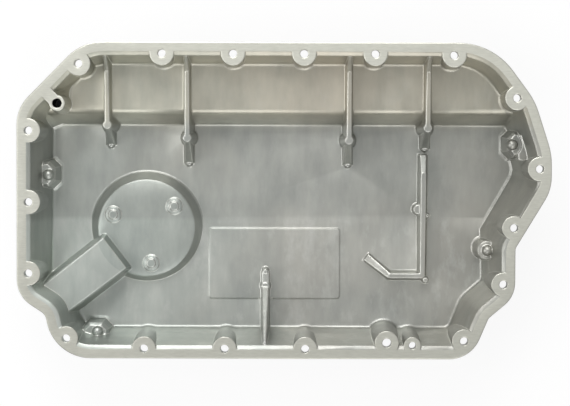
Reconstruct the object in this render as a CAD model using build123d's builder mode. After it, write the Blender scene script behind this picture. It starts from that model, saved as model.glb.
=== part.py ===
from build123d import *
import os
from math import atan, cos, degrees, radians, sin, sqrt, tan

# Engine oil pan, lower part: one aluminium die casting, open at the top.
# All sizes are millimetres. The pan is drawn upside down, with its gasket face on z = 0,
# so that z is the depth below that face. The finished casting is mirrored upright at the end.

# Overall build-up
pan_height = 64.0  # gasket face above the flat underside
flange_thickness = 9.0
band_width = 11.0  # gasket face, from the outer edge to the side wall
rim_width = 3.4  # cast slope between the machined face and the side wall
rim_depth = 1.8
side_wall = 4.0
floor_wall = 4.0
side_draft = 10.8  # degrees
floor_depth = pan_height - floor_wall
wall_shift = 1.05 * side_wall  # sideways offset of the step's outer face

# Gasket flange outline: corner x, corner y, corner radius, clockwise from the upper left
flange_half_width = 133.6
flange_corners = [
    (-170.0, flange_half_width, 42),
    (175.0, flange_half_width, 58),
    (211.0, 84.8, 60),
    (225.5, 40.0, 60),
    (225.5, 10.2, 38),
    (195.4, -39.5, 8),
    (195.4, -80.0, 25),
    (173.2, -98.6, 6),
    (158.3, -flange_half_width, 28),
    (-194.2, -flange_half_width, 38),
    (-201.5, -96.7, 10),
    (-225.5, -80.9, 26),
    (-225.5, 77.2, 34),
]

# Bolt holes through the flange, M6 clearance
bolt_hole_radius = 3.4
lobe_radius = 10.2
lobe_draft = 1.0
front_lobe_draft = 3.5
socket_radius = 7.2  # room below the flange for the bolt head and its socket
top_bolt_y = 124.0
top_bolt_pitch = 60.0
top_bolt_first_x = -103.4
top_bolt_count = 4
left_bolt_x = -215.8
left_bolt_pitch = 60.3
left_bolt_first_y = 58.7
left_bolt_count = 3
front_bolt_y = -125.2
front_bolt_pitch = 68.2
front_bolt_first_x = -118.1
front_bolt_count = 3
other_bolts = [
    (-173.5, 115.1),
    (142.9, 123.0),
    (196.0, 87.3),
    (215.6, 27.6),
    (194.2, -22.3),
    (185.5, -70.1),
    (152.6, -118.2),
    (-183.9, -116.8),
]
large_bolt = (87.3, -119.9)
large_hole_radius = 3.8
small_bolt = (109.0, -122.0)
small_hole_radius = 3.0
small_lobe_radius = 7.2
small_socket_radius = 4.2

# Locating pin hole, blind, in its own small lobe
pin_place = (-191.4, 81.7)
pin_hole_radius = 4.0
pin_hole_depth = 22.0
pin_lobe_radius = 6.6
pin_lobe_draft = 4.0
pin_neck_width = 10.4
pin_neck_reach = 12.0
pin_neck_angle = 135.0

# Shallow shelf along the rear, and the step down to the deep floor
shelf_depth = 30.0
step_top_y = 74.3
step_foot_y = 65.2
front_floor_y = -16.0
front_floor_slope = 4.1  # degrees, the front half of the floor rises towards the front

# Banks where the side wall leans in further than its draft: corners at their foot
shelf_bank = [
    (-185.4, 81.0),
    (-183.6, 94.0),
    (-176.0, 106.0),
    (-164.6, 117.5),
    (-164.6, 140.0),
    (-260.0, 140.0),
    (-260.0, 81.0),
]
shelf_bank_draft = 25.0
corner_bank = [
    (-190.6, 66.2),
    (-203.6, 61.0),
    (-216.0, 56.0),
    (-260.0, 56.0),
    (-260.0, 140.0),
    (-190.6, 140.0),
]
corner_bank_draft = 22.0
side_bank = [
    (171.5, -38.0),
    (171.5, -26.2),
    (198.6, 20.0),
    (199.8, 27.0),
    (196.5, 40.0),
    (280.0, 80.0),
    (280.0, -38.0),
]
side_bank_draft = 16.6

# Level-sensor seat: a raised round platform with three tapped bosses
seat_place = (-120.0, -25.4)
seat_top_radius = 42.3
seat_foot_radius = 48.4
seat_height = 13.0
sensor_pitch_radius = 31.0
sensor_bolt_count = 3
sensor_first_angle = 38.0
sensor_boss_radius = 7.2
sensor_boss_height = 1.5
sensor_button_radius = 4.4
sensor_button_height = 1.3
sensor_thread_radius = 2.5
sensor_thread_depth = 4.5

# Cable channel from the seat to the corner, raised above the seat
channel_angle = 37.8
channel_half_width = 16.2
channel_inner = (-143.4, -44.4)
channel_length = 84.0
channel_inner_height = 26.0
channel_end_slope = 3.5
channel_rise = 0.105
channel_draft = 8.0
channel_edge_break = 1.5
channel_foot_fillet = 0.8

# Blind columns with a domed top, tapped from below
column_radius = 8.2
column_draft = 3.0
column_depth = 31.0
dome_radius = 4.9
dome_height = 6.0
dome_outline = [(0.3, 1.0), (0.7, 0.8), (0.9, 0.5)]  # shares of its radius and its height
outer_column_extra = 1.0
column_thread_radius = 3.4
column_thread_depth = 24.0
round_columns = [(175.2, -43.0)]
side_columns = [(-202.8, 20.8), (196.0, 48.0), (-160.6, -114.3)]

# Eight-sided blocks around the columns beside the walls, and the crescent on the wall behind one
block_length = 26.0  # along the wall
block_width = 20.0  # out from the wall
side_blocks = [
    ((-205.2, 21.5), (block_width, block_length)),
    ((199.8, 48.2), (block_width, block_length)),
    ((-162.4, -114.7), (block_length, block_width)),
]
block_corner = 6.5
block_top_break = 2.5
block_draft = 4.5
crescent_place = (204.5, 45.5)
crescent_radius = 10.8
crescent_inner_place = (193.6, 48.0)
crescent_inner_radius = 10.4
crescent_start_x = 201.0
crescent_depth = 27.0

# Ribs across the shelf, on down the step to the floor: x, pad y, end y
rib_half_width = 1.6
rib_draft = 2.5
rib_foot_fillet = 1.9
rib_start_depth = 3.0
rib_gusset_length = 12.0  # from the wall, where the rib drops from its start to the shelf rib
rib_gusset_depth = 16.0
rib_pad_depth = 22.0
rib_pad_radius = 4.0
rib_pad_draft = 5.0
rib_tip_radius = 2.4
rib_tip_height = 5.0  # above the floor
rib_tip_drop = 1.0  # from the round tip to the rib's end
shelf_ribs = [
    (-151.5, 64.0, 42.6),
    (-83.2, 53.0, 26.8),
    (55.4, 51.2, 25.7),
    (122.8, 62.0, 40.0),
]

# Front rib with its round boss
front_rib_x = -16.0
front_rib_foot_fillet = 1.0
front_rib_boss_depth = 42.0
front_rib_boss_y = -76.0
front_rib_boss_radius = 4.0
front_rib_end_y = -59.4
front_rib_end_depth = 43.0

# Hooked baffle rib on the floor: corner x, corner y, height above the floor
hook_corners = [
    (121.2, 39.0, 9.0),
    (121.2, 22.0, 14.0),
    (120.6, -66.4, 15.0),
    (92.0, -66.4, 15.0),
    (72.0, -50.6, 6.0),
]
hook_half_width = 2.2
hook_draft = 7.0
hook_pad_draft = 8.5
hook_foot_fillet = 1.8
hook_bosses = [  # x, y, radius, height above the floor
    (117.2, -8.6, 4.6, 11.0),
    (125.2, -14.0, 1.9, 9.0),
    (123.6, -70.2, 2.6, 14.0),
]

# Label-sized raised field on the floor
field_x = -8.4
field_y = -56.5
field_length = 114.8
field_width = 61.9
field_radius = 3.0
field_height = 1.0

# Rounding
floor_round = 3.0
step_top_round = 6.0
crease_round = 15.0
underside_round = 2.0
edge_break = 0.8  # broken edges of bosses and ribs
rim_break_width = 1.4  # broken edges of the seat and the column tops
rim_break_height = 0.7
foot_flare = 1.8  # skirt where bosses and banks meet the floor
foot_rise = 1.0
sink = 0.06  # flared feet reach this far below the floor that carries them
slope_sink = 0.5  # the same where the floor slopes
ground_reach = 20.0  # floor taken with a rib, around it, when its foot is rounded
beyond = 300.0  # larger than the pan, for cuts that run right through
wide_span = 200.0  # edges longer than this run right across the pan
level_limit = 0.2  # rise of an edge that still counts as level
near = 0.5  # distance within which an edge counts as lying on a boundary


def bolt_places():
    """Centres of the equal bolt holes, row by row."""
    places = [(top_bolt_first_x + i * top_bolt_pitch, top_bolt_y) for i in range(top_bolt_count)]
    places += [(left_bolt_x, left_bolt_first_y - i * left_bolt_pitch) for i in range(left_bolt_count)]
    return places + other_bolts


def front_bolt_places():
    """Centres of the evenly spaced holes along the front."""
    return [(front_bolt_first_x + i * front_bolt_pitch, front_bolt_y) for i in range(front_bolt_count)]


def grown(radius, draft, depth):
    """Radius of a drafted round at a depth below its top."""
    return radius + depth * tan(radians(draft))


def floor_at(y):
    """Depth of the deep floor at a place along the pan's width."""
    return floor_depth - max(0, front_floor_y - y) * tan(radians(front_floor_slope))


with BuildSketch() as flange_outline:
    with BuildLine():
        FilletPolyline(
            *[(x, y) for x, y, radius in flange_corners],
            radius=[radius for x, y, radius in flange_corners],
            close=True,
        )
    make_face()

# The hollow of the pan, as the solid that fills it
with BuildPart() as hollow:
    with BuildSketch():
        add(flange_outline.sketch)
        offset(amount=-band_width, kind=Kind.INTERSECTION)
    extrude(amount=floor_depth, taper=side_draft)
    with BuildSketch():
        add(flange_outline.sketch)
        offset(amount=rim_width - band_width, kind=Kind.INTERSECTION)
    extrude(amount=rim_depth, taper=degrees(atan(rim_width / rim_depth + tan(radians(side_draft)))))


def bank(corners, draft, foot_depth=floor_depth):
    """Material that leans in from the side wall, standing on the floor or the shelf."""
    skirt_draft = degrees(atan(foot_flare / foot_rise))
    for extra, height, angle in [(0, foot_depth, draft), (foot_flare, foot_rise, skirt_draft)]:
        with BuildSketch(Plane.XY.offset(foot_depth)) as foot:
            with BuildLine():
                Polyline(*corners, close=True)
            make_face()
            offset(amount=extra, kind=Kind.INTERSECTION)
        extrude(foot.sketch, amount=-height, taper=angle, mode=Mode.SUBTRACT)


def column(place, radius, draft, top_depth, mode=Mode.SUBTRACT):
    """Drafted round, wider towards the underside."""
    height = pan_height - top_depth
    with Locations((*place, top_depth)):
        Cone(
            radius,
            grown(radius, draft, height),
            height,
            align=(Align.CENTER, Align.CENTER, Align.MIN),
            mode=mode,
        )


def lobe(place):
    """Round boss of a flange bolt, flared where it stands on the shelf."""
    foot_depth = shelf_depth if place[1] > step_top_y else pan_height
    foot = grown(lobe_radius, lobe_draft, foot_depth)
    outline = [(0, 0), (lobe_radius, 0), (foot, foot_depth - foot_rise)]
    if foot_depth == shelf_depth:
        outline.append((foot + foot_flare, foot_depth + sink))
    return turned(place, outline)


def hole(place, radius, start_depth, end_depth):
    """Straight round hole between two depths."""
    with Locations((*place, start_depth)):
        Cylinder(
            radius,
            end_depth - start_depth,
            align=(Align.CENTER, Align.CENTER, Align.MIN),
            mode=Mode.SUBTRACT,
        )


def turned(place, outline):
    """Round boss from its outline, points of radius and depth from its axis outwards."""
    with BuildPart() as boss:
        with BuildSketch(Plane(origin=(*place, 0), x_dir=(1, 0, 0), z_dir=(0, -1, 0))):
            with BuildLine():
                Polyline(*outline, (outline[-1][0], pan_height), (0, pan_height), close=True)
            make_face()
        revolve(axis=Axis((*place, 0), (0, 0, 1)))
    return boss.part


def pad_boss(place, radius, top_depth, draft=rib_pad_draft):
    """Small drafted round boss with a broken edge, standing on whatever is below it."""
    foot = grown(radius, draft, floor_depth - top_depth)
    outline = [
        (0, top_depth),
        (radius - edge_break, top_depth),
        (radius, top_depth + edge_break),
        (foot, floor_depth + edge_break),
    ]
    return turned(place, outline)


def seat_boss(place):
    """Round seat of the level sensor, with a broken edge and a flared foot."""
    top = floor_depth - seat_height
    outline = [
        (0, top),
        (seat_top_radius - rim_break_width, top),
        (seat_top_radius, top + rim_break_height),
        (seat_foot_radius, floor_depth - foot_rise),
        (seat_foot_radius + foot_flare, floor_depth + sink),
    ]
    return turned(place, outline)


def sensor_recess():
    """Round recess under the seat of the level sensor, open below."""
    outline = [
        (0, floor_depth - seat_height + floor_wall),
        (seat_top_radius - side_wall / 2, floor_depth - seat_height + floor_wall),
        (seat_foot_radius - side_wall / 2, pan_height - sink),
    ]
    return turned(seat_place, outline)


def sensor_places():
    """Centres of the tapped bosses on the level-sensor seat."""
    angles = [sensor_first_angle + i * 360 / sensor_bolt_count for i in range(sensor_bolt_count)]
    return [
        (
            seat_place[0] + sensor_pitch_radius * cos(radians(angle)),
            seat_place[1] + sensor_pitch_radius * sin(radians(angle)),
        )
        for angle in angles
    ]


def sensor_boss(place):
    """Low two-step boss on the level-sensor seat."""
    seat_top = floor_depth - seat_height
    step = seat_top - sensor_boss_height
    top = step - sensor_button_height
    outline = [
        (0, top),
        (sensor_button_radius - edge_break, top),
        (sensor_button_radius, step),
        (sensor_boss_radius - rim_break_width, step),
        (sensor_boss_radius, step + rim_break_height),
        (sensor_boss_radius, seat_top + sink),
    ]
    return turned(place, outline)


def channel_end():
    """Outer end of the cable channel."""
    return (
        channel_inner[0] - channel_length * cos(radians(channel_angle)),
        channel_inner[1] - channel_length * sin(radians(channel_angle)),
    )


def spans_pan(edge):
    """Whether an edge is a crease of the floor, from one side wall to the other."""
    across = front_floor_y - crease_round / 2 < (edge @ 0.5).Y < step_top_y + crease_round / 2
    return across and edge.length > wide_span


def is_level(edge):
    """Whether the middle of an edge runs level."""
    return abs((edge % 0.5).Z) < level_limit


def outer_foot(edge):
    """Whether an edge of the shell is part of the outer edge of its underside."""
    return is_level(edge) and (edge @ 0.5).Z > floor_at(-beyond / 2) and not spans_pan(edge)


def dome():
    """Outline of the domed top of a column, from its axis outwards."""
    points = [(dome_radius * out, column_depth - dome_height * up) for out, up in dome_outline]
    return [(0, points[0][1]), *points, (dome_radius, column_depth)]


def domed_column(place):
    """Column with a domed top and a flared foot."""
    foot_depth = floor_at(place[1])
    foot_sink = sink if foot_depth == floor_depth else slope_sink
    foot_radius = grown(column_radius, column_draft, foot_depth - column_depth)
    outline = [
        *dome(),
        (column_radius - rim_break_width, column_depth),
        (column_radius, column_depth + rim_break_height),
        (foot_radius, foot_depth - foot_rise),
        (foot_radius + foot_flare, foot_depth + foot_sink),
    ]
    return turned(place, outline)


def side_block(place, size, column_place):
    """Eight-sided drafted block with a flared foot, and the dome of its column on top."""
    length, width = size
    foot_depth = floor_at(place[1] + width / 2)
    skirt = (foot_flare, foot_rise, degrees(atan(foot_flare / foot_rise)))
    with BuildPart() as block:
        for extra, height, draft in [(0, foot_depth - column_depth, block_draft), skirt]:
            with BuildSketch(Plane.XY.offset(foot_depth + sink)) as foot:
                with Locations(place):
                    Rectangle(length + 2 * extra, width + 2 * extra)
                chamfer(foot.vertices(), block_corner)
            extrude(amount=-height, taper=draft)
        chamfer(block.faces().sort_by(Axis.Z)[0].edges(), block_top_break)
        add(turned(column_place, dome()))
    return block.part


def crescent():
    """Crescent-shaped top of the wall's thickening behind a block."""
    with BuildSketch(Plane.XY.offset(crescent_depth)) as outline:
        with Locations(crescent_place):
            Circle(crescent_radius)
        with Locations(crescent_inner_place):
            Circle(crescent_inner_radius, mode=Mode.SUBTRACT)
        with Locations((crescent_start_x + crescent_radius, crescent_place[1])):
            Rectangle(2 * crescent_radius, 2 * crescent_radius, mode=Mode.INTERSECT)
    extrude(outline.sketch, amount=floor_depth - crescent_depth, mode=Mode.SUBTRACT)


def drafted_bar(start, end, half_width, draft, ridge, edge=edge_break):
    """Bar from start to end with drafted sides. Its ridge passes through points of distance and depth."""
    along = Vector(*end) - Vector(*start)
    across = Vector(-along.Y, along.X)
    top = min(depth for distance, depth in ridge)
    foot = grown(half_width, draft, pan_height - top)
    with BuildPart() as bar:
        with BuildSketch(Plane(origin=(*start, 0), x_dir=across, z_dir=along)):
            with BuildLine():
                Polyline(
                    (-half_width, top),
                    (half_width, top),
                    (foot, pan_height),
                    (-foot, pan_height),
                    close=True,
                )
            make_face()
        extrude(amount=along.length)
        with BuildSketch(Plane(origin=(*start, 0), x_dir=along, z_dir=-across)):
            with BuildLine():
                Polyline(*ridge, (along.length, pan_height), (ridge[0][0], pan_height), close=True)
            make_face()
        extrude(amount=2 * foot, both=True, mode=Mode.INTERSECT)
        chamfer(bar.edges().filter_by(lambda e: is_ridge(e, along)), edge)
    return bar.part


def is_ridge(edge, along):
    """Whether an edge of a bar runs along its top, beside the ridge."""
    lengthwise = abs((edge @ 1 - edge @ 0).dot(along.normalized())) > near
    return lengthwise and max((edge @ 0).Z, (edge @ 1).Z) < pan_height - near


def ground(extra_wall, extra_floor, top_round, foot_round):
    """Everything below the floor, seen from the side: step, deep floor and rising front floor."""
    lean = (step_top_y - step_foot_y) / (floor_depth - shelf_depth)
    shelf = shelf_depth + extra_floor
    deep = floor_depth + extra_floor
    shift = extra_wall - lean * extra_floor
    rise = beyond * tan(radians(front_floor_slope))
    with BuildPart() as block:
        with BuildSketch(Plane.YZ):
            with BuildLine():
                FilletPolyline(
                    (step_top_y + shift + beyond, shelf),
                    (step_top_y + shift, shelf),
                    (step_foot_y + shift, deep),
                    (front_floor_y, deep),
                    (front_floor_y - beyond, deep - rise),
                    radius=[top_round, foot_round, crease_round],
                )
                Polyline(
                    (front_floor_y - beyond, deep - rise),
                    (front_floor_y - beyond, deep + beyond),
                    (step_top_y + shift + beyond, deep + beyond),
                    (step_top_y + shift + beyond, shelf),
                )
            make_face()
        extrude(amount=beyond, both=True)
    return block.part


def is_wall_foot(edge):
    """Whether an edge of the hollow runs where a wall meets the shelf or the floor."""
    on_floor = min((edge @ 0).Z, (edge @ 1).Z) > floor_at(-beyond / 2)
    on_shelf = abs((edge @ 0.5).Z - shelf_depth) < near
    return is_level(edge) and (on_floor or on_shelf) and not spans_pan(edge)


def stood_on_floor(feature, low, high, carrier=None, fillet_radius=rib_foot_fillet):
    """A feature with the piece of ground that carries it, a little sunk, and a fillet where they meet."""
    with BuildPart() as standing:
        add(ground(sink, sink, step_top_round, floor_round))
        with Locations(((low[0] + high[0]) / 2, (low[1] + high[1]) / 2, 0)):
            Box(high[0] - low[0], high[1] - low[1], beyond, mode=Mode.INTERSECT)
        if carrier:
            add(carrier)
        add(feature)
        meeting = standing.edges(Select.NEW)
        fillet([edge for edge in meeting if is_inside(edge, low, high)], fillet_radius)
    return standing.part


def is_inside(edge, low, high):
    """Whether an edge's middle lies within a rectangle."""
    middle = edge @ 0.5
    inside_x = low[0] + near < middle.X < high[0] - near
    return inside_x and low[1] + near < middle.Y < high[1] - near


def shelf_rib(x, pad_y, end_y):
    """Rib from the rear wall across the shelf and down the step, with its round pad and tip."""
    tip_y = end_y + rib_tip_radius + rib_foot_fillet
    tip_depth = floor_depth - rib_tip_height
    ridge = [
        (0, rib_start_depth),
        (rib_gusset_length, rib_start_depth),
        (2 * rib_gusset_length, rib_gusset_depth),
        (flange_half_width - pad_y, rib_pad_depth),
        (flange_half_width - tip_y, tip_depth + rib_tip_drop),
    ]
    with BuildPart() as rib:
        add(drafted_bar((x, flange_half_width), (x, tip_y), rib_half_width, rib_draft, ridge))
        add(pad_boss((x, pad_y), rib_pad_radius, rib_pad_depth))
        add(pad_boss((x, tip_y), rib_tip_radius, tip_depth))
    low = (x - ground_reach, end_y - ground_reach)
    high = (x + ground_reach, flange_half_width - side_wall)
    return stood_on_floor(rib.part, low, high)


def front_rib():
    """Rib from the front wall to its round boss and on to its round tip."""
    tip_y = front_rib_end_y - rib_tip_radius - front_rib_foot_fillet
    ridge = [
        (0, rib_start_depth),
        (band_width + rib_start_depth, rib_start_depth),
        (front_rib_boss_y + flange_half_width, front_rib_boss_depth),
        (tip_y + flange_half_width, front_rib_end_depth + rib_tip_drop),
    ]
    start = (front_rib_x, -flange_half_width)
    with BuildPart() as rib:
        add(drafted_bar(start, (front_rib_x, tip_y), rib_half_width, rib_draft, ridge))
        add(pad_boss((front_rib_x, front_rib_boss_y), front_rib_boss_radius, front_rib_boss_depth))
        add(pad_boss((front_rib_x, tip_y), rib_tip_radius, front_rib_end_depth))
    low = (front_rib_x - ground_reach, 2 * side_wall - flange_half_width)
    high = (front_rib_x + ground_reach, front_rib_end_y + ground_reach)
    return stood_on_floor(rib.part, low, high, fillet_radius=front_rib_foot_fillet)


def hooked_rib():
    """Baffle rib on the floor, bent like a hook."""
    with BuildPart() as rib:
        for first, last in zip(hook_corners, hook_corners[1:]):
            start, end = first[:2], last[:2]
            length = (Vector(*end) - Vector(*start)).length
            ridge = [(0, floor_depth - first[2]), (length, floor_depth - last[2])]
            add(drafted_bar(start, end, hook_half_width, hook_draft, ridge, edge_break / 2))
        for x, y, height in hook_corners[1:-1]:
            add(pad_boss((x, y), hook_half_width, floor_depth - height, hook_pad_draft))
    low = (hook_corners[-1][0] - ground_reach, hook_corners[2][1] - ground_reach)
    high = (hook_corners[0][0] + ground_reach, hook_corners[0][1] + ground_reach)
    return stood_on_floor(rib.part, low, high, fillet_radius=hook_foot_fillet)


def channel(inset, edge):
    """Cable channel, as a bar inset from its inner end, its sides and its top."""
    top = floor_depth - channel_inner_height + inset
    ridge = [
        (inset, floor_depth - seat_height + inset + channel_end_slope),
        (inset + channel_end_slope, top),
        (channel_length, top - channel_rise * channel_length),
    ]
    return drafted_bar(
        channel_inner, channel_end(), channel_half_width - inset, channel_draft, ridge, edge
    )


def seat_and_channel():
    """Sensor seat with the cable channel on it, and the floor around them."""
    end_x, end_y = channel_end()
    reach = seat_foot_radius + ground_reach
    return stood_on_floor(
        channel(0, channel_edge_break),
        (end_x + ground_reach, end_y),
        (seat_place[0] + reach, seat_place[1] + reach),
        carrier=seat_boss(seat_place),
        fillet_radius=channel_foot_fillet,
    )


def raised_field():
    """Thin raised plate on the rising part of the floor."""
    tilt = radians(front_floor_slope)
    on_floor = Plane(
        origin=(field_x, field_y, floor_at(field_y)),
        x_dir=(1, 0, 0),
        z_dir=(0, sin(tilt), -cos(tilt)),
    )
    with BuildPart() as field:
        with BuildSketch(on_floor.offset(-floor_wall / 2)):
            RectangleRounded(field_length, field_width, field_radius)
        extrude(amount=floor_wall / 2 + field_height)
        chamfer(field.faces().sort_by(Axis.Z)[0].edges(), field_height / 2)
    return field.part


# The hollow of the pan, as the solid that fills it, and all that stands in it
with BuildPart() as core:
    add(hollow.part)
    add(ground(0, 0, step_top_round, floor_round), mode=Mode.SUBTRACT)
    for place in front_bolt_places() + [large_bolt]:
        column(place, lobe_radius, front_lobe_draft, 0)
    column(small_bolt, small_lobe_radius, front_lobe_draft, 0)
    fillet(core.edges().filter_by(is_wall_foot), floor_round)
    bank(shelf_bank, shelf_bank_draft, shelf_depth)
    bank(corner_bank, corner_bank_draft)
    bank(side_bank, side_bank_draft)
    for place in bolt_places():
        add(lobe(place), mode=Mode.SUBTRACT)
    column(pin_place, pin_lobe_radius, pin_lobe_draft, 0)
    with BuildSketch():
        with Locations((pin_place[0] - pin_neck_reach / 2, pin_place[1] + pin_neck_reach / 2)):
            Rectangle(sqrt(2) * pin_neck_reach, pin_neck_width, rotation=pin_neck_angle)
    extrude(amount=pan_height, mode=Mode.SUBTRACT)
    for place in round_columns:
        add(domed_column(place), mode=Mode.SUBTRACT)
    for (place, size), column_place in zip(side_blocks, side_columns):
        add(side_block(place, size, column_place), mode=Mode.SUBTRACT)
    crescent()
    for x, pad_y, end_y in shelf_ribs:
        add(shelf_rib(x, pad_y, end_y), mode=Mode.SUBTRACT)
    add(front_rib(), mode=Mode.SUBTRACT)
    add(hooked_rib(), mode=Mode.SUBTRACT)
    for x, y, radius, height in hook_bosses:
        add(pad_boss((x, y), radius, floor_depth - height), mode=Mode.SUBTRACT)
    add(seat_and_channel(), mode=Mode.SUBTRACT)
    for place in sensor_places():
        add(sensor_boss(place), mode=Mode.SUBTRACT)
    add(raised_field(), mode=Mode.SUBTRACT)


# The outside of the casting
with BuildPart() as shell:
    with BuildSketch():
        add(flange_outline.sketch)
        offset(amount=side_wall - band_width, kind=Kind.INTERSECTION)
    extrude(amount=pan_height, taper=side_draft)
    add(ground(wall_shift, floor_wall, step_top_round, floor_round), mode=Mode.SUBTRACT)
    fillet(shell.edges().filter_by(outer_foot), underside_round)

with BuildPart() as casting:
    add(shell.part)
    for place in round_columns + side_columns:
        column(place, column_radius + outer_column_extra, column_draft, flange_thickness, mode=Mode.ADD)
    add(ground(wall_shift, floor_wall, step_top_round, floor_round), mode=Mode.SUBTRACT)
    with BuildSketch():
        add(flange_outline.sketch)
    extrude(amount=flange_thickness)
    add(core.part, mode=Mode.SUBTRACT)
    # From below: recess and tapped holes of the sensor seat, channel pocket, tapped columns, bolt head room
    add(sensor_recess(), mode=Mode.SUBTRACT)
    recess_roof = floor_depth - seat_height + floor_wall
    for place in sensor_places():
        hole(place, sensor_thread_radius, recess_roof - sensor_thread_depth, recess_roof)
    add(channel(side_wall, channel_edge_break), mode=Mode.SUBTRACT)
    for place in round_columns + side_columns:
        hole(place, column_thread_radius, pan_height - column_thread_depth, pan_height)
    for place in bolt_places() + front_bolt_places() + [large_bolt]:
        hole(place, socket_radius, flange_thickness, pan_height)
    hole(small_bolt, small_socket_radius, flange_thickness, pan_height)
    # From above: the holes of the gasket flange
    for place in bolt_places() + front_bolt_places():
        hole(place, bolt_hole_radius, 0, flange_thickness)
    hole(large_bolt, large_hole_radius, 0, flange_thickness)
    hole(small_bolt, small_hole_radius, 0, flange_thickness)
    hole(pin_place, pin_hole_radius, 0, pin_hole_depth)

with BuildPart() as oil_pan:
    mirror(casting.part, about=Plane.XY.offset(pan_height / 2))

os.makedirs("parts", exist_ok=True)
oil_pan.part.label = "oil_pan"
export_step(oil_pan.part, "parts/oil_pan.step")
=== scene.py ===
import bpy
import math
from mathutils import Matrix, Vector


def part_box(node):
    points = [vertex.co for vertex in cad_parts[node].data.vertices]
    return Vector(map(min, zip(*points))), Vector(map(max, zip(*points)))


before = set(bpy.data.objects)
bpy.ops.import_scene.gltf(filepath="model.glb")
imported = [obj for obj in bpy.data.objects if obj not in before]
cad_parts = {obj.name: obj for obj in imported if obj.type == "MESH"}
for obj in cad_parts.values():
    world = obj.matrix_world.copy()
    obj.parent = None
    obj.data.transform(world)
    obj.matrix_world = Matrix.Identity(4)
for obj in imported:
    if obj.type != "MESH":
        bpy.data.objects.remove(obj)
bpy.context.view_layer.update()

# The pan, in metres, with +Z up
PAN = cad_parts["oil_pan"]
GASKET_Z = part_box("oil_pan")[1].z

# Camera, worked out from the photograph's perspective
IMAGE_WIDTH = 570  # pixels
PIXEL_AT_GASKET = 0.000843  # width of a pixel on the gasket face
CAMERA_HEIGHT = 1.430  # above the gasket face
CAMERA_FOOT = (0.0008, 0.0464)  # the point straight below the camera
AIM_POINT = (0.0008, -0.0017)  # seen in the middle of the picture
SENSOR_WIDTH = 36.0  # millimetres
ROLL = math.radians(0.2)

# Studio
FLOOR_SIZE = 12.0
FLOOR_Z = -0.0003  # a hair below the pan's underside
FLOOR_GREY = (0.8, 0.8, 0.8)
FLOOR_GLOW = 0.88  # share of plain white in the floor as it is seen, the rest takes shadows
LIGHT_SIZE = 1.2
LIGHTS = [  # name, place, watts
    ("key", (-0.2, 1.3, 1.1), 25.0),
    ("left", (-1.3, -0.1, 1.1), 13.5),
    ("front", (0.2, -1.3, 1.1), 13.0),
    ("right", (1.3, 0.0, 1.1), 2.8),
]
SKY = [  # sine of the angle above the horizon, grey
    (0.0, 0.45),
    (0.2, 0.12),
    (0.4, 0.14),
    (0.8, 0.12),
    (0.9, 0.69),
]

BLACK = (0, 0, 0)
WHITE = (1, 1, 1)

# Noises of the skin: blotches per metre, detail, roughness
BLOTCHES = (22.0, 3.0, 0.55)
STREAKS = (75.0, 4.0, 0.6)
GRAIN = (900.0, 2.0, 0.5)
WARM_PATCHES = (9.0, 2.0, 0.5)
FLOW_MARKS = (60.0, 6.0, 0.68)
CUTTER_MARKS = (160.0, 3.0, 0.6)

# How much closer they lie along X, Y and Z
STREAK_STRETCH = (1.0, 0.28, 1.0)
FLOW_STRETCH = (1.0, 0.45, 1.0)
CUTTER_STRETCH = (1.0, 6.0, 1.0)

# Cast skin
BLOTCH_SHARE = 0.45
STREAK_SHARE = 0.55
CAST_COLOURS = [  # noise, colour
    (0.36, (0.30, 0.31, 0.29)),
    (0.64, (0.40, 0.405, 0.375)),
]
CAST_WARM = (0.42, 0.38, 0.33)
WARM_BAND = (0.48, 0.68)
WARM_AMOUNT = 0.22
PALE_FLOW = (0.52, 0.53, 0.50)
FLOW_BAND = (0.52, 0.70)
FLOW_AMOUNT = 0.15
FLOW_AMOUNT_IN_FRONT = 0.35  # more in front of the floor's crease
METALLIC = 0.7
ROUGHNESS = 0.31
ROUGHNESS_RANGE = 0.16
GRAIN_SHARE = 0.5
RELIEF_HEIGHT = 0.0006
RELIEF_STRENGTH = 0.2
MACHINED_RELIEF_CHANGE = -0.14

# Tints of the cast skin, mostly painted light and shade, and where they lie
SHARE_AT_MIDDLE = 0.5
SHARE_PER_METRE_X = 2.0
SHARE_PER_METRE_Y = 3.0
SIDE_PAINTED_LIGHT = [  # share across the pan, tint: painted light on the left, painted shade on the right
    (0.1, (1.03, 1.07, 1.07)),
    (0.55, (0.96, 0.96, 0.96)),
    (0.85, (0.90, 0.90, 0.89)),
]
FRONT_PAINTED_LIGHT = [  # share across the pan, tint of painted light, strongest on the left
    (0.15, (1.17, 1.19, 1.19)),
    (0.5, (1.05, 1.05, 1.05)),
]
CREASE_BAND = (0.0155, 0.0175)  # distance in front of the middle, where the front's painted light sets in
# Warmer colour on the shelf, and painted light that makes it paler
SHELF_WARMTH_AND_LIGHT = (1.31, 1.22, 1.08)
SHELF_AMOUNT = 0.75
SHELF_BAND = (0.060, 0.072)  # Y, where the shelf's tint sets in

# Level-sensor seat, a little duller
SEAT_PLACE = (-0.1200, -0.0254, 0.0)
SEAT_RADIUS = 0.0425
SEAT_TINT = (0.86, 0.88, 0.88)

# Blind pin hole, painted dark inside as shade
PIN_PLACE = (-0.1914, 0.0817, 0.0)
PIN_RADIUS = 0.0041
PIN_DEPTH = 0.0225
PIN_PAINTED_SHADE = (0.03, 0.03, 0.03)

# Machined gasket face
MACHINED_COLOURS = [  # noise, colour
    (0.3, (0.51, 0.51, 0.455)),
    (0.7, (0.585, 0.585, 0.525)),
]
MACHINED_PAINTED_LIGHT = [  # share from the front to the rear, tint: painted shade in front, painted light at the rear
    (0.15, (0.83, 0.83, 0.82)),
    (0.85, (1.06, 1.06, 1.05)),
]
MACHINED_SKIN = 0.00015  # depth of the machined skin
LEVEL_NORMAL = 0.97
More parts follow.
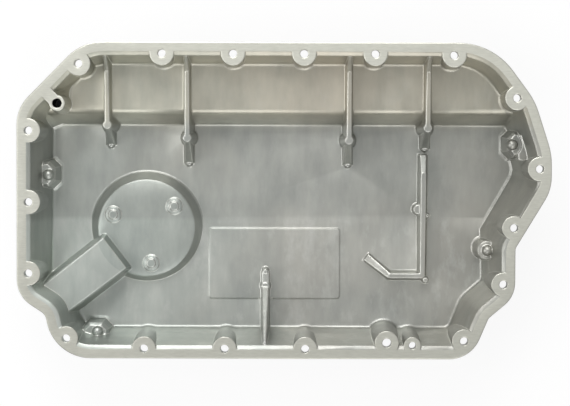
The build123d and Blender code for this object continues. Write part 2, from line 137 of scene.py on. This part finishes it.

# Soft edges, painted paler as a highlight and smoother than the skin round them
EDGE_PAINTED_HIGHLIGHT = (0.84, 0.84, 0.79)
EDGE_HIGHLIGHT_AMOUNT = 0.62
EDGE_SMOOTHNESS = 0.08
EDGE_RADIUS = 0.0018
EDGE_SAMPLES = 8
EDGE_TURNS = [  # cosine of the turn from the flat to the soft surface, share of painted highlight
    (0.90, WHITE),
    (0.995, BLACK),
]
RIM_DEPTH = 0.0019  # no painted highlight or smoothing above this depth
FIELD_LOW = (-0.069, -0.0895)  # the raised field's edges get no painted highlight or smoothing
FIELD_HIGH = (0.0525, -0.0235)
RIB_LOW = (-0.0225, -0.0895)  # the front rib's do, where it lies on the field
RIB_HIGH = (-0.0095, -0.0540)

# Shading
WELD_DISTANCE = 0.000004
SHARP_ANGLE = math.radians(28)

# Sockets of a node that mixes colours
MIX_FACTOR = 0
MIX_FIRST = 6
MIX_SECOND = 7
MIX_RESULT = 2


class Paint:
    """A node tree that is built up from sockets, numbers and colours."""

    def __init__(self, owner):
        owner.use_nodes = True
        self.tree = owner.node_tree
        self.tree.nodes.clear()

    def add(self, kind, **settings):
        """A new node."""
        node = self.tree.nodes.new(kind)
        for key, value in settings.items():
            setattr(node, key, value)
        return node

    def feed(self, socket, value):
        """Links a socket, or gives it a number, a vector or a colour."""
        if isinstance(value, bpy.types.NodeSocket):
            self.tree.links.new(value, socket)
        elif socket.type == "RGBA":
            socket.default_value = (*value, 1)
        else:
            socket.default_value = value

    def math(self, operation, *values, clamp=False):
        """The result of a math operation on sockets or numbers."""
        node = self.add("ShaderNodeMath", operation=operation, use_clamp=clamp)
        for socket, value in zip(node.inputs, values):
            self.feed(socket, value)
        return node.outputs["Value"]

    def measure(self, operation, first, second):
        """One number from two vectors."""
        node = self.add("ShaderNodeVectorMath", operation=operation)
        self.feed(node.inputs[0], first)
        self.feed(node.inputs[1], second)
        return node.outputs["Value"]

    def split(self, vector):
        """The X, Y and Z of a vector."""
        node = self.add("ShaderNodeSeparateXYZ")
        self.feed(node.inputs["Vector"], vector)
        return node.outputs["X"], node.outputs["Y"], node.outputs["Z"]

    def ramp(self, factor, stops):
        """A colour ramp from (place, colour) stops."""
        node = self.add("ShaderNodeValToRGB")
        elements = node.color_ramp.elements
        elements.remove(elements[0])
        first_place, first_colour = stops[0]
        elements[0].position = first_place
        elements[0].color = (*first_colour, 1)
        for place, colour in stops[1:]:
            elements.new(place).color = (*colour, 1)
        self.feed(node.inputs["Fac"], factor)
        return node.outputs["Color"]

    def rising(self, factor, low, high):
        """Nought up to low, and one from high on."""
        return self.ramp(factor, [(low, BLACK), (high, WHITE)])

    def noise(self, place, scale, detail, roughness):
        """Smooth noise, with scale in blotches per metre."""
        node = self.add("ShaderNodeTexNoise")
        self.feed(node.inputs["Vector"], place)
        self.feed(node.inputs["Scale"], scale)
        self.feed(node.inputs["Detail"], detail)
        self.feed(node.inputs["Roughness"], roughness)
        return node.outputs["Fac"]

    def stretched(self, place, factors):
        """Coordinates multiplied along the axes."""
        node = self.add("ShaderNodeMapping")
        self.feed(node.inputs["Vector"], place)
        self.feed(node.inputs["Scale"], factors)
        return node.outputs["Vector"]

    def mix(self, factor, first, second, blend="MIX"):
        """Two colours mixed."""
        node = self.add("ShaderNodeMix", data_type="RGBA", blend_type=blend)
        self.feed(node.inputs[MIX_FACTOR], factor)
        self.feed(node.inputs[MIX_FIRST], first)
        self.feed(node.inputs[MIX_SECOND], second)
        return node.outputs[MIX_RESULT]

    def tinted(self, factor, colour, tint):
        """A colour multiplied by a tint, by as much as the factor says."""
        return self.mix(factor, colour, tint, "MULTIPLY")

    def outside_box(self, place, low, high):
        """Nought inside a rectangle seen from above, one outside it."""
        x, y, _ = self.split(place)
        right_of = self.math("GREATER_THAN", x, low[0])
        left_of = self.math("LESS_THAN", x, high[0])
        behind = self.math("GREATER_THAN", y, low[1])
        in_front = self.math("LESS_THAN", y, high[1])
        inside_x = self.math("MULTIPLY", right_of, left_of)
        inside_y = self.math("MULTIPLY", behind, in_front)
        inside = self.math("MULTIPLY", inside_x, inside_y)
        return self.math("SUBTRACT", 1.0, inside)

    def inside_disc(self, place, centre, radius):
        """One inside a circle seen from above, nought outside it."""
        flat = self.stretched(place, (1.0, 1.0, 0.0))
        gap = self.measure("DISTANCE", flat, centre)
        return self.math("LESS_THAN", gap, radius)


def aluminium():
    """Bare die-cast aluminium, machined on the gasket face."""
    material = bpy.data.materials.new("cast_aluminium")
    paint = Paint(material)
    place = paint.add("ShaderNodeTexCoord").outputs["Object"]
    normal = paint.add("ShaderNodeNewGeometry").outputs["Normal"]
    edge = paint.add("ShaderNodeBevel", samples=EDGE_SAMPLES)
    paint.feed(edge.inputs["Radius"], EDGE_RADIUS)
    soft_normal = edge.outputs["Normal"]

    streaks = paint.noise(paint.stretched(place, STREAK_STRETCH), *STREAKS)
    mottled = mottling(paint, place, streaks)
    machined = machined_face(paint, place, normal)
    highlit_smoothed_edges = highlight_and_smooth_edges(paint, place, normal, soft_normal)
    cast = cast_colour(paint, place, mottled)
    colour = paint.mix(machined, cast, machined_colour(paint, place))
    # Painted highlight along the soft edges
    highlight_share = paint.math("MULTIPLY", highlit_smoothed_edges, EDGE_HIGHLIGHT_AMOUNT)
    colour = paint.mix(highlight_share, colour, EDGE_PAINTED_HIGHLIGHT)
    rough = paint.math("MULTIPLY_ADD", mottled, ROUGHNESS_RANGE, ROUGHNESS)
    smoother = paint.math("MULTIPLY", highlit_smoothed_edges, EDGE_SMOOTHNESS)

    shader = paint.add("ShaderNodeBsdfPrincipled")
    paint.feed(shader.inputs["Base Color"], colour)
    paint.feed(shader.inputs["Metallic"], METALLIC)
    paint.feed(shader.inputs["Roughness"], paint.math("SUBTRACT", rough, smoother))
    paint.feed(shader.inputs["Normal"], relief(paint, place, streaks, machined, soft_normal))
    output = paint.add("ShaderNodeOutputMaterial")
    paint.feed(output.inputs["Surface"], shader.outputs["BSDF"])
    return material


def mottling(paint, place, streaks):
    """Blotches, and the streaks that the metal's flow and the die spray leave."""
    blotches = paint.math("MULTIPLY", paint.noise(place, *BLOTCHES), BLOTCH_SHARE)
    return paint.math("ADD", blotches, paint.math("MULTIPLY", streaks, STREAK_SHARE))


def machined_face(paint, place, normal):
    """One on the gasket face: level, and at the top of the pan."""
    _, _, z = paint.split(place)
    _, _, up = paint.split(normal)
    high = paint.math("GREATER_THAN", z, GASKET_Z - MACHINED_SKIN)
    level = paint.math("GREATER_THAN", up, LEVEL_NORMAL)
    return paint.math("MULTIPLY", high, level)


def highlight_and_smooth_edges(paint, place, normal, soft_normal):
    """One along rounded edges and feet, where the painted highlight and smoothing go, but not on
    the rim or round the raised field.
    """
    turn = paint.measure("DOT_PRODUCT", soft_normal, normal)
    rounded = paint.ramp(turn, EDGE_TURNS)
    _, _, z = paint.split(place)
    below_rim = paint.math("LESS_THAN", z, GASKET_Z - RIM_DEPTH)
    rounded = paint.math("MULTIPLY", rounded, below_rim)
    off_field = paint.outside_box(place, FIELD_LOW, FIELD_HIGH)
    on_rib = paint.math("SUBTRACT", 1.0, paint.outside_box(place, RIB_LOW, RIB_HIGH))
    kept = paint.math("MAXIMUM", off_field, on_rib)
    return paint.math("MULTIPLY", rounded, kept)


def cast_colour(paint, place, mottled):
    """Colour of the cast skin, with its patches, the tints and painted light and shade of the
    pan's parts, and painted shade in the pin hole.
    """
    x, y, z = paint.split(place)
    across = paint.math("MULTIPLY_ADD", x, SHARE_PER_METRE_X, SHARE_AT_MIDDLE)
    cast = paint.ramp(mottled, CAST_COLOURS)
    warm = paint.rising(paint.noise(place, *WARM_PATCHES), *WARM_BAND)
    cast = paint.mix(paint.math("MULTIPLY", warm, WARM_AMOUNT), cast, CAST_WARM)

    # The shelf along the rear is warmer and painted paler with light, and the right end is
    # painted darker with shade
    shelf = paint.rising(y, *SHELF_BAND)
    cast = paint.tinted(paint.math("MULTIPLY", shelf, SHELF_AMOUNT), cast, SHELF_WARMTH_AND_LIGHT)
    # Painted light on the left end of the pan, painted shade on the right end
    cast = paint.tinted(1.0, cast, paint.ramp(across, SIDE_PAINTED_LIGHT))

    # In front of the crease the floor is painted paler with light, with more of the pale flow
    # marks
    front = paint.rising(paint.math("MULTIPLY", y, -1.0), *CREASE_BAND)
    cast = paint.tinted(front, cast, paint.ramp(across, FRONT_PAINTED_LIGHT))
    flow = paint.noise(paint.stretched(place, FLOW_STRETCH), *FLOW_MARKS)
    flow = paint.rising(flow, *FLOW_BAND)
    amount = paint.math("MULTIPLY_ADD", front, FLOW_AMOUNT_IN_FRONT, FLOW_AMOUNT)
    cast = paint.mix(paint.math("MULTIPLY", flow, amount), cast, PALE_FLOW)

    # The sensor seat is duller, and the blind pin hole is painted dark as shade
    seat = paint.inside_disc(place, SEAT_PLACE, SEAT_RADIUS)
    cast = paint.tinted(seat, cast, SEAT_TINT)
    bore_shade = paint.inside_disc(place, PIN_PLACE, PIN_RADIUS)
    above_bottom = paint.math("GREATER_THAN", z, GASKET_Z - PIN_DEPTH)
    bore_shade = paint.math("MULTIPLY", bore_shade, above_bottom)
    return paint.mix(bore_shade, cast, PIN_PAINTED_SHADE)


def machined_colour(paint, place):
    """Colour of the machined face: pale, with faint cutter marks, painted shade towards the
    front and painted light towards the rear.
    """
    marks = paint.noise(paint.stretched(place, CUTTER_STRETCH), *CUTTER_MARKS)
    turned = paint.ramp(marks, MACHINED_COLOURS)
    _, y, _ = paint.split(place)
    rearward = paint.math("MULTIPLY_ADD", y, SHARE_PER_METRE_Y, SHARE_AT_MIDDLE)
    # Painted shade towards the front, painted light towards the rear
    return paint.tinted(1.0, turned, paint.ramp(rearward, MACHINED_PAINTED_LIGHT))


def relief(paint, place, streaks, machined, soft_normal):
    """Fine relief of the cast skin on the softened edges, fainter on the machined face."""
    grain = paint.math("MULTIPLY", paint.noise(place, *GRAIN), GRAIN_SHARE)
    height = paint.math("ADD", grain, streaks)
    strength = paint.math("MULTIPLY_ADD", machined, MACHINED_RELIEF_CHANGE, RELIEF_STRENGTH)
    bump = paint.add("ShaderNodeBump")
    paint.feed(bump.inputs["Distance"], RELIEF_HEIGHT)
    paint.feed(bump.inputs["Strength"], strength)
    paint.feed(bump.inputs["Height"], height)
    paint.feed(bump.inputs["Normal"], soft_normal)
    return bump.outputs["Normal"]


def smooth_skin(piece):
    """Joins the faces' shared borders and shades them smooth, except across sharp edges."""
    weld = piece.modifiers.new("weld", "WELD")
    weld.merge_threshold = WELD_DISTANCE
    group = bpy.data.node_groups.new("smooth_by_angle", "GeometryNodeTree")
    group.interface.new_socket("Geometry", in_out="INPUT", socket_type="NodeSocketGeometry")
    group.interface.new_socket("Geometry", in_out="OUTPUT", socket_type="NodeSocketGeometry")
    start = group.nodes.new("NodeGroupInput")
    end = group.nodes.new("NodeGroupOutput")
    faces = group.nodes.new("GeometryNodeSetShadeSmooth")
    faces.domain = "FACE"
    edges = group.nodes.new("GeometryNodeSetShadeSmooth")
    edges.domain = "EDGE"
    edges.inputs["Shade Smooth"].default_value = False
    angle = group.nodes.new("GeometryNodeInputMeshEdgeAngle")
    sharp = group.nodes.new("FunctionNodeCompare")
    sharp.operation = "GREATER_THAN"
    sharp.inputs["B"].default_value = SHARP_ANGLE
    group.links.new(start.outputs["Geometry"], faces.inputs["Geometry"])
    group.links.new(faces.outputs["Geometry"], edges.inputs["Geometry"])
    group.links.new(angle.outputs["Unsigned Angle"], sharp.inputs["A"])
    group.links.new(sharp.outputs["Result"], edges.inputs["Selection"])
    group.links.new(edges.outputs["Geometry"], end.inputs["Geometry"])
    piece.modifiers.new("smooth_by_angle", "NODES").node_group = group


def floor():
    """Pale floor that looks white to the camera and in reflections, and keeps a faint shadow."""
    bpy.ops.mesh.primitive_plane_add(size=FLOOR_SIZE, location=(0, 0, FLOOR_Z))
    plane = bpy.context.object
    plane.name = "studio_floor"
    material = bpy.data.materials.new("studio_floor")
    paint = Paint(material)
    matt = paint.add("ShaderNodeBsdfDiffuse")
    paint.feed(matt.inputs["Color"], FLOOR_GREY)
    ray = paint.add("ShaderNodeLightPath").outputs
    seen = paint.math("ADD", ray["Is Camera Ray"], ray["Is Glossy Ray"])
    seen = paint.math("ADD", seen, ray["Is Transmission Ray"], clamp=True)
    glow = paint.add("ShaderNodeEmission")
    paint.feed(glow.inputs["Strength"], seen)
    both = paint.add("ShaderNodeMixShader")
    paint.feed(both.inputs[0], paint.math("MULTIPLY", seen, FLOOR_GLOW))
    paint.feed(both.inputs[1], matt.outputs["BSDF"])
    paint.feed(both.inputs[2], glow.outputs["Emission"])
    output = paint.add("ShaderNodeOutputMaterial")
    paint.feed(output.inputs["Surface"], both.outputs["Shader"])
    plane.data.materials.append(material)


def studio():
    """Surroundings that are brightest overhead, and a large soft light on each side."""
    world = bpy.data.worlds.new("studio")
    bpy.context.scene.world = world
    paint = Paint(world)
    _, _, up = paint.split(paint.add("ShaderNodeTexCoord").outputs["Generated"])
    stops = [(height, (grey, grey, grey)) for height, grey in SKY]
    surroundings = paint.add("ShaderNodeBackground")
    paint.feed(surroundings.inputs["Color"], paint.ramp(up, stops))
    output = paint.add("ShaderNodeOutputWorld")
    paint.feed(output.inputs["Surface"], surroundings.outputs["Background"])
    for name, place, power in LIGHTS:
        soft_light(name, place, power)


def soft_light(name, place, power):
    """A square soft light that shines at the pan."""
    data = bpy.data.lights.new(name, "AREA")
    data.size = LIGHT_SIZE
    data.energy = power
    lamp = bpy.data.objects.new(name, data)
    lamp.location = place
    lamp.rotation_euler = (-Vector(place)).to_track_quat("-Z", "Y").to_euler()
    bpy.context.scene.collection.objects.link(lamp)


def camera():
    """The photograph's view: almost straight down, from a little behind the middle."""
    place = Vector((*CAMERA_FOOT, GASKET_Z + CAMERA_HEIGHT))
    aim = Vector((*AIM_POINT, GASKET_Z))
    sight = aim - place
    back = -sight.normalized()
    level = Vector((math.cos(ROLL), math.sin(ROLL), 0))
    up = back.cross(level).normalized()
    right = up.cross(back)
    data = bpy.data.cameras.new("camera")
    data.sensor_fit = "HORIZONTAL"
    data.sensor_width = SENSOR_WIDTH
    data.lens = sight.length / (PIXEL_AT_GASKET * IMAGE_WIDTH) * SENSOR_WIDTH
    eye = bpy.data.objects.new("camera", data)
    eye.location = place
    eye.rotation_mode = "QUATERNION"
    eye.rotation_quaternion = Matrix((right, up, back)).transposed().to_quaternion()
    bpy.context.scene.collection.objects.link(eye)
    bpy.context.scene.camera = eye


PAN.data.materials.clear()
PAN.data.materials.append(aluminium())
smooth_skin(PAN)
floor()
studio()
camera()
bpy.context.scene.view_settings.view_transform = "Standard"
